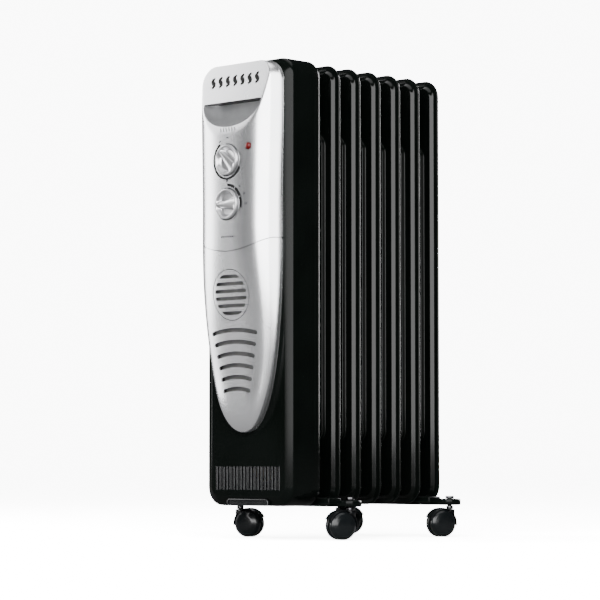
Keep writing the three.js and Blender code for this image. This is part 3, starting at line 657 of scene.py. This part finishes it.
def make_fascia():
    """Both silver halves with their openings cut."""
    upper = make_piece("fascia_top_half", fascia_half(False), SILVER, "frame",
                       ("fascia_upper",), 40)
    openings = [prism(mouth_outline(), CUT_FROM, CUT_TO),
                prism(circle(5.2, LAMP_X, LAMP_Z, 40), CUT_FROM, CUT_TO)]
    openings += [prism(circle(KNOB_R + DIAL_GAP, 0, z, 120), CUT_FROM, CUT_TO) for z in DIAL_Z.values()]
    cut(upper, openings)
    ease_normals(upper)
    lower = make_piece("fascia_tip_half", fascia_half(True), SILVER, "frame",
                       ("fascia_lower",), 40)
    openings = [prism(slot_outline(k), CUT_FROM, CUT_TO) for k in range(SLOT_COUNT)]
    openings.append(prism(circle(GRILLE_R + 0.5, 0, GRILLE_Z, 120), CUT_FROM, CUT_TO))
    cut(lower, openings)
    ease_normals(lower)


def make_grab_cup():
    """The finger recess: in the D-shaped mouth the depth under the fascia's surface is 0 along the lower
    arc and grows upwards by a quarter sine, with steep ends; a flat ceiling comes back out at the top.
    The scoop's darker grey and the ceiling's near black are painted shade inside the recess."""
    rows, columns, wall = 44, 81, 1.1
    w, top, drop = MOUTH["half_width"] - 0.3, MOUTH["top"] - 0.3, MOUTH["drop"] - 0.6
    share = np.sin(np.linspace(0, np.pi / 2, rows))
    across = np.sin(np.linspace(-np.pi / 2, np.pi / 2, columns))
    z = top - drop + drop * (1 - (1 - share) ** 1.5) + 0 * across[:, None]
    z = z.T
    x = across[None] * w * np.sqrt(np.clip(1 - ((top - z) / drop) ** 2, 0, 1)) * 0.9985
    scoop = (1 - np.abs(across) ** 7)[None] ** 0.6 * np.sin(np.pi / 2 * (z - top + drop) / drop) ** 0.75
    mouth_y = fascia_y(x, z) + 0.3
    floor_y = mouth_y + (FACE_Y - 9 - mouth_y) * scoop
    back = np.stack([x, floor_y, z], -1)
    out = np.linspace(1, 0, 8)[:, None]
    ceiling_y = mouth_y[-1] + (floor_y[-1] - mouth_y[-1]) * out
    ceiling = np.stack([x[-1] + 0 * out, ceiling_y, z[-1] + 0 * out], -1)
    # The scoop is silver darkened to grey and the ceiling sheet is near black: both are painted shade.
    sheets = (("grab_cup_scoop", back, CUP_SHADED_SILVER, ("grab_cup",)),
              ("grab_cup_ceiling", ceiling[:, 3:-3], DARK, ()))
    for name, sheet, material, replaces in sheets:
        part = (sheet.reshape(-1, 3), grid_faces(*sheet.shape[:2]))
        cup = make_piece(name, [part], material, "frame", replaces, 40)
        facing = cup.data.polygons[len(cup.data.polygons) // 2].normal
        if facing.y > 0 or facing.z > 0.7:
            cup.data.flip_normals()
        thicken(cup, wall, 40)


def disc_on_fascia(radius, centre, sink, rings=26, sides=96):
    """A round patch that follows the fascia's surface, sunk behind it."""
    turn = np.linspace(0, 2 * np.pi, sides, endpoint=False)
    r, angle = np.meshgrid(np.linspace(0, 1, rings) * radius, turn, indexing="ij")
    x, z = centre[0] + r * np.cos(angle), centre[1] + r * np.sin(angle)
    return np.stack([x, fascia_y(x, z) + sink, z], -1)


def grille_slot(step):
    """One slot of the round grille: a level band cut off by a smaller circle, so the end bands become
    crescents; its four corners are rounded by a superellipse in height."""
    half_band, reach, middle = 2.35, GRILLE_R - 4.2, step * 9.6
    height = np.linspace(-1, 1, 15)
    z = middle + half_band * height
    width = np.sqrt(np.clip(reach ** 2 - z ** 2, 0.2, None))
    width -= half_band * (1 - np.sqrt(np.clip(1 - np.abs(height) ** 2.6, 0, 1)))
    width = np.maximum(width, 0.3)
    side = np.stack([width, GRILLE_Z + z], -1)
    return np.concatenate([side, side[::-1] * (-1, 1)])


def make_grille():
    """The round grille, its six slots, and the silver duct behind it and behind the arched vents, whose
    silver is darkened to near black as painted shade.
    """
    face = disc_on_fascia(GRILLE_R - 0.5, (0, GRILLE_Z), 0.1)
    skin = np.concatenate([face, np.stack([face[-1] + (0, d, 0) for d in (0.5, 1.6, 2.6)])])
    part = (skin.reshape(-1, 3), grid_faces(*skin.shape[:2], wrap=True))
    grille = make_piece("round_grille_disc", [part], SILVER, "frame", ("round_grille",), 40)
    if grille.data.polygons[10].normal.y > 0:
        grille.data.flip_normals()
    thicken(grille, 1.8, 40)
    cut(grille, [prism(grille_slot(k - 2.5), CUT_FROM, CUT_TO) for k in range(6)])
    ease_normals(grille)
    duct = disc_on_fascia(GRILLE_R + 2.0, (0, GRILLE_Z), 5.6, 14, 64)
    part = (duct.reshape(-1, 3), grid_faces(*duct.shape[:2], wrap=True))
    thicken(make_piece("grille_duct", [part], DUCT_SHADED_SILVER, "frame", (), 40), 1.0, 40)
    x, z = np.meshgrid(np.linspace(-1, 1, 33), np.linspace(186, 284, 40))
    x = x * (24 + 20 * smooth_step(z, 180, 285))
    vent = np.stack([x, fascia_y(x, z) + 5.2, z], -1)
    part = (vent.reshape(-1, 3), grid_faces(*vent.shape[:2]))
    thicken(make_piece("vent_duct", [part], DUCT_SHADED_SILVER, "frame", (), 40), 1.0, 40)


# ---------------------------------------------------------------------------------------------
# Dials, lamp and printing
# ---------------------------------------------------------------------------------------------

def make_knob(which):
    """A round knob with two scoops beside a tapered ridge. The depth of a scoop is a product of two
    smooth steps: one with the distance from the ridge's side, one with the distance from the rim."""
    z0, turn = DIAL_Z[which], math.radians(DIAL_TURN[which])
    front, back = KNOB_FRONT, FACE_Y - 25
    sides, inner = 180, 70
    r = np.linspace(0, KNOB_R - 1.6, inner)[:, None]
    angle = np.linspace(0, 2 * np.pi, sides, endpoint=False)[None]
    x, z = r * np.sin(angle), r * np.cos(angle)
    along, across = x * math.sin(turn) + z * math.cos(turn), x * math.cos(turn) - z * math.sin(turn)
    ridge = 3.9 + 0.13 * along
    depth = 4.6 * smooth_step(np.abs(across) - ridge, 0, 3.4) * smooth_step(KNOB_R - 2.2 - r, 0, 5.5)
    depth *= 1 - 0.3 * smooth_step(np.abs(across), 5, 18)
    depth += 1.3 * np.minimum((across / ridge) ** 2, 1) * smooth_step(KNOB_R - 2.2 - r, 0, 4)
    face = np.stack([x, front + depth, z + z0], -1)
    bead = np.linspace(0, np.pi / 2, 6)[1:, None]
    bead_r, bead_y = KNOB_R - 1.6 + 1.6 * np.sin(bead), front + 1.6 * (1 - np.cos(bead))
    wall = np.array([[KNOB_R, front + 8], [KNOB_R, back], [3.4, back], [0, back]])
    rim_r = np.concatenate([bead_r[:, 0], wall[:, 0]])[:, None]
    rim_y = np.concatenate([bead_y[:, 0], wall[:, 1]])[:, None]
    rest = np.stack([rim_r * np.sin(angle), rim_y + 0 * angle, rim_r * np.cos(angle) + z0], -1)
    part = tube(np.concatenate([face, rest]), ends=False)
    make_piece(which + "_knob_cap", [part], KNOB_SILVER, which + "_dial",
               (which + "_knob",), 50)


def make_lamp():
    """The pilot lens: a shallow dome with a small flange, over a neon lamp."""
    seat = float(fascia_y(LAMP_X, LAMP_Z))
    dome = [(0, seat - 2.6), (1.6, seat - 2.45), (3.0, seat - 2.0), (4.0, seat - 1.2), (4.6, seat - 0.2),
            (4.85, seat + 0.6), (4.85, seat + 5.5), (0, seat + 5.5)]
    part = moved(turned(dome, 48), shift=(LAMP_X, 0, LAMP_Z))
    make_piece("pilot_lens_dome", [part], LENS, "frame", ("pilot_lens",), 60)
    glass = [(0, seat + 6.6), (1.4, seat + 7.0), (2.4, seat + 8.4), (2.6, seat + 10), (2.6, seat + 21),
             (0, seat + 22)]
    part = moved(turned(glass, 24), shift=(LAMP_X, 0, LAMP_Z))
    make_piece("pilot_lamp_bulb", [part], NEON, "frame", ("pilot_lamp",), 60)


def stroke(points, width, lift=0.35):
    """A printed line on the fascia: a thin flat bar that follows points in X and Z on the surface."""
    points = np.asarray(points, float)
    tangent = np.gradient(points, axis=0)
    tangent /= np.linalg.norm(tangent, axis=1, keepdims=True)
    side = np.stack([-tangent[:, 1], tangent[:, 0]], -1) * np.asarray(width, float).reshape(-1, 1) / 2
    left, right = points + side, points - side

    def on_surface(p, out):
        return np.stack([p[:, 0], fascia_y(p[:, 0], p[:, 1]) - out, p[:, 1]], -1)

    rings = [on_surface(left, lift), on_surface(right, lift),
             on_surface(right, -0.2), on_surface(left, -0.2)]
    return tube(np.stack(rings, 1))


def arc_points(radius, start, end, centre_z, count):
    """Points round a dial, by angles in degrees clockwise from the top."""
    a = np.radians(np.linspace(start, end, count))
    return np.stack([radius * np.sin(a), centre_z + radius * np.cos(a)], -1)


def tally(x, z, count, height=3.0, pitch=1.6, width=0.7):
    """A row of short upright bars, one for each heat setting."""
    starts = x + pitch * np.arange(count)
    return [stroke([(x0, z - height / 2), (x0, z), (x0, z + height / 2)], width) for x0 in starts]


def make_printing():
    """The dials' printed scales, small generic symbols, and a row of rising heat waves on the top facet."""
    thermo, power = DIAL_Z["thermostat"], DIAL_Z["power"]
    dark = [stroke(arc_points(24.9, 112, 328, thermo, 80), 2.7)]
    dark += [stroke(arc_points(25.2, a, b, power, 16), 3.6) for a, b in ((2, 32), (37, 67), (72, 103))]
    make_piece("dial_scales", dark, PRINT, "frame", (), 40)
    grey = [stroke([(-2.2, thermo + 29.5), (0, thermo + 29.5), (2.2, thermo + 29.5)], 1.1)]
    grey.append(stroke(arc_points(28.6, 329, 336, thermo, 5), 1.2))
    ring = np.linspace(0, 2 * np.pi, 25)
    grey.append(stroke(np.stack([1.3 * np.sin(ring), power + 31 + 1.7 * np.cos(ring)], -1), 0.7))
    for count, angle in ((1, 45), (2, 68), (3, 92)):
        a = math.radians(angle)
        grey += tally(31.5 * math.sin(a) + 0.8, power + 31.5 * math.cos(a), count)
    wave = np.linspace(0, 1, 13)
    for x0 in np.linspace(-13, 13, 6):
        upright = np.stack([x0 + 1.0 * np.sin(wave * 2 * np.pi), 540.5 + 4.4 * (wave - 0.5)], -1)
        tick = np.stack([x0 * 0.8 + 1.6 * (wave - 0.5), 397.5 + 3.4 * np.abs(wave - 0.5)], -1)
        grey += [stroke(upright, 0.8), stroke(tick, 0.8)]
    make_piece("dial_symbols", grey, PRINT_GREY, "frame", (), 40)
    rise = np.linspace(0, 1, 25)
    thick = 2.2 + 3.8 * np.sin(np.pi * rise)
    lean = 3.4 * rise + 2.6 * np.sin(rise * 2 * np.pi)
    marks = [stroke(np.stack([x0 + lean, 600.5 + 14 * rise], -1), thick)
             for x0 in np.linspace(-43.5, 39, 7)]
    make_piece("heat_wave_row", marks, PRINT, "frame", (), 40)


# ---------------------------------------------------------------------------------------------
# Foot brackets and casters
# ---------------------------------------------------------------------------------------------

WHEEL_R, HUB_GAP, TRAIL = 18.8, 2.6, 14.0
BRACKET_BOTTOM, BRACKET_TOP, LOBE_TOP = 43.5, 55.0, 52.0


def bar_along_x(x_range, y_range, z_range, radius, ease):
    """A bar along X: a rounded rectangle in Y and Z, drawn in by ease at both ends."""
    half, middle = (y_range[1] - y_range[0]) / 2, (y_range[1] + y_range[0]) / 2
    x0, x1 = x_range
    stops = [(x0, ease), (x0 + ease * 0.3, ease * 0.3), (x0 + ease, 0),
             (x1 - ease, 0), (x1 - ease * 0.3, ease * 0.3), (x1, ease)]
    rings = []
    for x, inset in stops:
        loop = rounded_rectangle(half, z_range[0], z_range[1], radius, inset, 6, 1)
        rings.append(np.column_stack([np.full(len(loop), x), middle + loop[:, 0], loop[:, 1]]))
    return tube(np.stack(rings))


def make_brackets():
    """Each foot bracket: a flat bar, two arms with round lobes for the stems, and a saddle under the
    lower header, held by a U-bolt whose path is two legs and a half circle over the header."""
    for end in ENDS:
        low, high = node_box("foot_bracket_" + end)
        y, stem_y = low[1] + 12, node_box(f"caster_{end}_left_stem")[0][1] + 4.7
        parts = [bar_along_x((-86, 86), (y - 12, y + 12), (BRACKET_BOTTOM, BRACKET_TOP), 2.4, 1.6),
                 bar_along_x((-11, 11), (y - 8, y + 8), (BRACKET_TOP - 1, high[2]), 1.0, 0.6)]
        for side in (-1, 1):
            arm = sorted((side * 84, side * 104))
            parts.append(bar_along_x(arm, (y - 4, y + 12), (BRACKET_BOTTOM, LOBE_TOP), 2.0, 0.2))
            lobe = rounded([(0, BRACKET_BOTTOM), (15, BRACKET_BOTTOM), (15, LOBE_TOP), (0, LOBE_TOP)],
                           2.2, 6)
            parts.append(moved(turned(lobe, 64, "z"), shift=(side * 103, stem_y, 0)))
        make_piece(f"foot_bracket_{end}_pressing", parts, ENAMEL, "frame",
                   ("foot_bracket_" + end,), 50)
        reach = BOSS_R + GAP + 2.5
        arc = np.linspace(np.pi, 0, 33)
        over_r, foot = reach * 1.03, BRACKET_BOTTOM + 0.8
        over = np.stack([over_r * np.cos(arc), y + 0 * arc, HEADER_Z[0] + over_r * np.sin(arc)], -1)
        path = np.concatenate([[(-reach, y, foot)], over, [(reach, y, foot)]])
        bolt = swept(path, round_section(2.5, 20), up=(0, 1, 0))
        make_piece(f"u_bolt_{end}_rod", [bolt], ZINC, "frame", ("u_bolt_" + end,), 50)
        for side in ("left", "right"):
            softened_copy(f"clamp_nut_{end}_{side}", ZINC, "frame", 0.4)


def wheel_profile():
    """Half section of a wheel, [radius, depth]: a dished inner face, a tread with soft shoulders and a
    domed outer face with a shallow ring groove."""
    r = WHEEL_R
    points = [(0, 7.4), (3.1, 7.4), (3.1, 0), (6.5, 0), (7.2, 1.4), (r - 3.4, 1.4), (r - 2.6, 0),
              (r, 0), (r, 5.6), (r - 2.6, 8.3), (r - 3.0, 7.9), (r - 3.6, 8.6), (r - 9.5, 10.3), (0, 10.8)]
    return rounded(points, 1.4, 5)


def make_casters():
    """Four casters. Each is built in its own frame, the stem upright at the origin and the axle along Y at
    -TRAIL in X, then turned to the heading that the frame's wheels show and shifted to its stem."""
    axle = (-TRAIL, 0, WHEEL_R)
    start, stop = -0.14, 2.72
    sweep = np.linspace(start, stop, 49)
    across = np.linspace(-1, 1, 21)
    outer = np.stack([10.4 * across, WHEEL_R + 2.3 - 1.5 * np.abs(across) ** 5], -1)
    inner = np.stack([10.4 * across[::-1], WHEEL_R + 0.55 + 0 * across], -1)
    section = np.concatenate([outer, inner])
    span, radius = section[:, 0], section[:, 1]
    shell = np.stack([np.column_stack([radius * math.cos(a), span, radius * math.sin(a)]) for a in sweep])
    rest = np.linspace(stop, 2 * np.pi + start, 33)
    web = np.concatenate([np.stack([20.4 * np.cos(sweep), 20.4 * np.sin(sweep)], -1),
                          np.stack([6.5 * np.cos(rest), 6.5 * np.sin(rest)], -1)])
    socket = rounded([(0, 30), (6.8, 30), (6.8, 37.6), (3.3, 37.6), (3.3, 34.7), (0, 34.7)], 0.9, 4)
    pin = rounded([(0, 35), (3, 35), (3, 37.9), (4.7, 37.9), (4.7, 42.4), (3, 42.4), (3, 54), (0, 54)],
                  0.5, 4)
    for corner in CORNERS:
        name = "caster_" + corner
        stem = np.mean(node_box(name + "_stem"), axis=0)
        wheels = [np.mean(node_box(f"{name}_wheel_{k}"), axis=0) for k in "ab"]
        trail = (wheels[0] + wheels[1]) / 2 - stem
        turn = math.atan2(trail[1], trail[0]) - math.pi
        heading = [[math.cos(turn), -math.sin(turn), 0], [math.sin(turn), math.cos(turn), 0], [0, 0, 1]]
        place = (stem[0], stem[1], 0)
        hood = [moved(tube(shell), shift=axle), moved(prism(web, -HUB_GAP + GAP, HUB_GAP - GAP), shift=axle),
                turned(socket, 48, "z")]
        make_piece(name + "_hood_shell", [moved(part, heading, place) for part in hood], NYLON, name,
                   (name + "_hood",), 40)
        make_piece(name + "_stem_pin", [moved(turned(pin, 32, "z"), heading, place)], STEEL, "frame",
                   (name + "_stem",), 40)
        for side, key in ((-1, "a"), (1, "b")):
            wheel = turned(wheel_profile() * (1, side) + (0, side * HUB_GAP), 72)
            make_piece(f"{name}_wheel_{key}_disc", [moved(moved(wheel, shift=axle), heading, place)], WHEEL,
                       f"{name}_wheel_{key}", (f"{name}_wheel_{key}",), 35)
        softened_copy(name + "_nut", STEEL, "frame", 0.7)
        refinish(name + "_axle", STEEL)


# ---------------------------------------------------------------------------------------------
# Small fittings and inner parts
# ---------------------------------------------------------------------------------------------

def refinish(node, material):
    """Gives a carried-over node its own procedural finish."""
    carried = frame["nodes"][node]
    for slot in carried.material_slots:
        slot.material = material


def make_fittings():
    """The bush in the box's left wall, the filler plug, and finishes for the parts inside."""
    low, high = node_box("cord_bush")
    centre_y, centre_z = (low[1] + high[1]) / 2, (low[2] + high[2]) / 2
    bush = rounded([(0, -4), (8, -4), (8, 0), (10.5, GAP), (10.5, 2.5), (8.2, 3.2), (8.6, 4.2),
                    (7.6, 5.0), (7.9, 6.0), (6.8, 7.0), (6.9, 8.6), (4.2, 9), (4.2, 5), (0, 5)], 0.5, 4)
    outward = [[0, -1, 0], [1, 0, 0], [0, 0, 1]]
    seated = moved(turned(bush, 48), outward, (-BOX_HALF, centre_y, centre_z))
    make_piece("cord_bush_ribbed", [seated], NYLON, "frame", ("cord_bush",), 40)
    softened_copy("oil_filler_plug", ZINC, "frame", 0.7)
    # The element flange's near-black brass is painted shade inside the box.
    inner = {"heat_shield": ZINC, "control_bracket": ZINC, "thermostat_spindle": ZINC, "power_spindle": ZINC,
             "thermostat": DARK, "power_switch": DARK, "heating_element": STEEL, "element_flange": BRASS_PAINTED_SHADE,
             "terminal_block": CERAMIC, "thermal_cutout": NYLON}
    for node, material in inner.items():
        refinish(node, material)


# ---------------------------------------------------------------------------------------------
# Studio
# ---------------------------------------------------------------------------------------------

FLOOR_SEEN, FLOOR_GLOW, FLOOR_LIT = 5.4, 4.6, 0.18
SURROUND_SEEN, SURROUND_LIT = 10.0, 0.03


def make_floor():
    """A plain pale floor, far wider than the view. It is white to the eye and dark in reflections."""
    mesh = bpy.data.meshes.new("studio_floor")
    reach = 30.0
    corners = [(-reach, -reach, 0), (reach, -reach, 0), (reach, reach, 0), (-reach, reach, 0)]
    mesh.from_pydata(corners, [], [(0, 1, 2, 3)])
    material = bpy.data.materials.new("pale_floor")
    material.use_nodes = True
    nodes, links = material.node_tree.nodes, material.node_tree.links
    seen, glow, lit = (nodes.new(kind) for kind in
                       ("ShaderNodeBsdfDiffuse", "ShaderNodeEmission", "ShaderNodeBsdfDiffuse"))
    seen.inputs["Color"].default_value = (FLOOR_SEEN, FLOOR_SEEN, FLOOR_SEEN, 1)
    glow.inputs["Strength"].default_value = FLOOR_GLOW
    lit.inputs["Color"].default_value = (FLOOR_LIT, FLOOR_LIT, FLOOR_LIT, 1)
    path, both, pick = (nodes.new(kind) for kind in
                        ("ShaderNodeLightPath", "ShaderNodeAddShader", "ShaderNodeMixShader"))
    links.new(seen.outputs[0], both.inputs[0])
    links.new(glow.outputs[0], both.inputs[1])
    links.new(path.outputs["Is Camera Ray"], pick.inputs[0])
    links.new(lit.outputs[0], pick.inputs[1])
    links.new(both.outputs[0], pick.inputs[2])
    links.new(pick.outputs[0], nodes["Material Output"].inputs["Surface"])
    mesh.materials.append(material)
    floor = bpy.data.objects.new("studio_floor", mesh)
    bpy.context.scene.collection.objects.link(floor)


def area_light(name, azimuth, distance, height, size, power, only=()):
    """A soft box at an azimuth round the object (0 in front, 90 on the right), aimed at its middle. With
    only, it lights just the pieces of those finishes."""
    a = math.radians(azimuth)
    lamp = bpy.data.lights.new(name, "AREA")
    lamp.shape, lamp.size, lamp.size_y, lamp.energy = "RECTANGLE", size[0], size[1], power
    holder = bpy.data.objects.new(name, lamp)
    holder.location = (math.sin(a) * distance, -math.cos(a) * distance, height)
    aim = Vector((0, 0, 0.33)) - holder.location
    holder.rotation_euler = aim.to_track_quat("-Z", "Y").to_euler()
    holder.visible_camera = False
    bpy.context.scene.collection.objects.link(holder)
    if only:
        chosen = bpy.data.collections.new(name + "_receivers")
        for piece in bpy.context.scene.objects:
            if piece.type == "MESH" and any(m in only for m in piece.data.materials):
                chosen.objects.link(piece)
        holder.light_linking.receiver_collection = chosen


def make_studio():
    """White surround for the eye and a nearly black one for reflections, a weak overhead sun, upright soft
    boxes whose reflections draw the bright zones of the silver, one that only the silver's side wall
    sees, and one behind for the black pieces' rear edges."""
    world = bpy.data.worlds.new("studio")
    world.use_nodes = True
    nodes, links = world.node_tree.nodes, world.node_tree.links
    seen, lit = nodes["Background"], nodes.new("ShaderNodeBackground")
    seen.inputs["Color"].default_value = (1, 1, 1, 1)
    seen.inputs["Strength"].default_value = SURROUND_SEEN
    lit.inputs["Color"].default_value = (0.92, 0.97, 1, 1)
    lit.inputs["Strength"].default_value = SURROUND_LIT
    path, pick = nodes.new("ShaderNodeLightPath"), nodes.new("ShaderNodeMixShader")
    links.new(path.outputs["Is Camera Ray"], pick.inputs[0])
    links.new(lit.outputs[0], pick.inputs[1])
    links.new(seen.outputs[0], pick.inputs[2])
    links.new(pick.outputs[0], nodes["World Output"].inputs["Surface"])
    bpy.context.scene.world = world
    sun = bpy.data.lights.new("overhead", "SUN")
    sun.energy, sun.angle = 3.0, math.radians(70)
    holder = bpy.data.objects.new("overhead", sun)
    bpy.context.scene.collection.objects.link(holder)
    area_light("left_box", -65, 2.2, 1.0, (1.15, 1.9), 60)
    area_light("right_box", 34, 2.4, 1.0, (3.3, 1.9), 240)
    area_light("shoulder_light", 106, 2.2, 1.0, (3.8, 1.9), 190, (SILVER,))
    area_light("rear_light", 175, 2.2, 0.9, (1.1, 1.5), 160, (ENAMEL, FIN_BLACK))


def make_camera():
    """The camera looks at the front right edge from low down, nearly level."""
    azimuth, yaw, pitch = math.radians(44.62), 0.0088, 0.0634
    distance, height = 3.419, 0.1021
    forward = Vector((-math.sin(azimuth), math.cos(azimuth), 0))
    right = Vector((math.cos(azimuth), math.sin(azimuth), 0))
    aim = forward * math.cos(yaw) + right * math.sin(yaw)
    level = right * math.cos(yaw) - forward * math.sin(yaw)
    look = aim * math.cos(pitch) + Vector((0, 0, 1)) * math.sin(pitch)
    top = level.cross(look)
    camera = bpy.data.cameras.new("camera")
    camera.lens, camera.sensor_width = 153.2, 36.0
    holder = bpy.data.objects.new("camera", camera)
    holder.matrix_world = Matrix((
        (level.x, top.x, -look.x, math.sin(azimuth) * distance),
        (level.y, top.y, -look.y, -math.cos(azimuth) * distance + FIN_Y * MM),
        (level.z, top.z, -look.z, height),
        (0, 0, 0, 1)))
    bpy.context.scene.collection.objects.link(holder)
    bpy.context.scene.camera = holder


make_camera()
make_floor()
make_fins()
make_box()
make_louvre()
make_foot_arch()
make_fascia()
make_grab_cup()
make_grille()
for dial in DIAL_Z:
    make_knob(dial)
make_lamp()
make_printing()
make_brackets()
make_casters()
make_fittings()
make_studio()
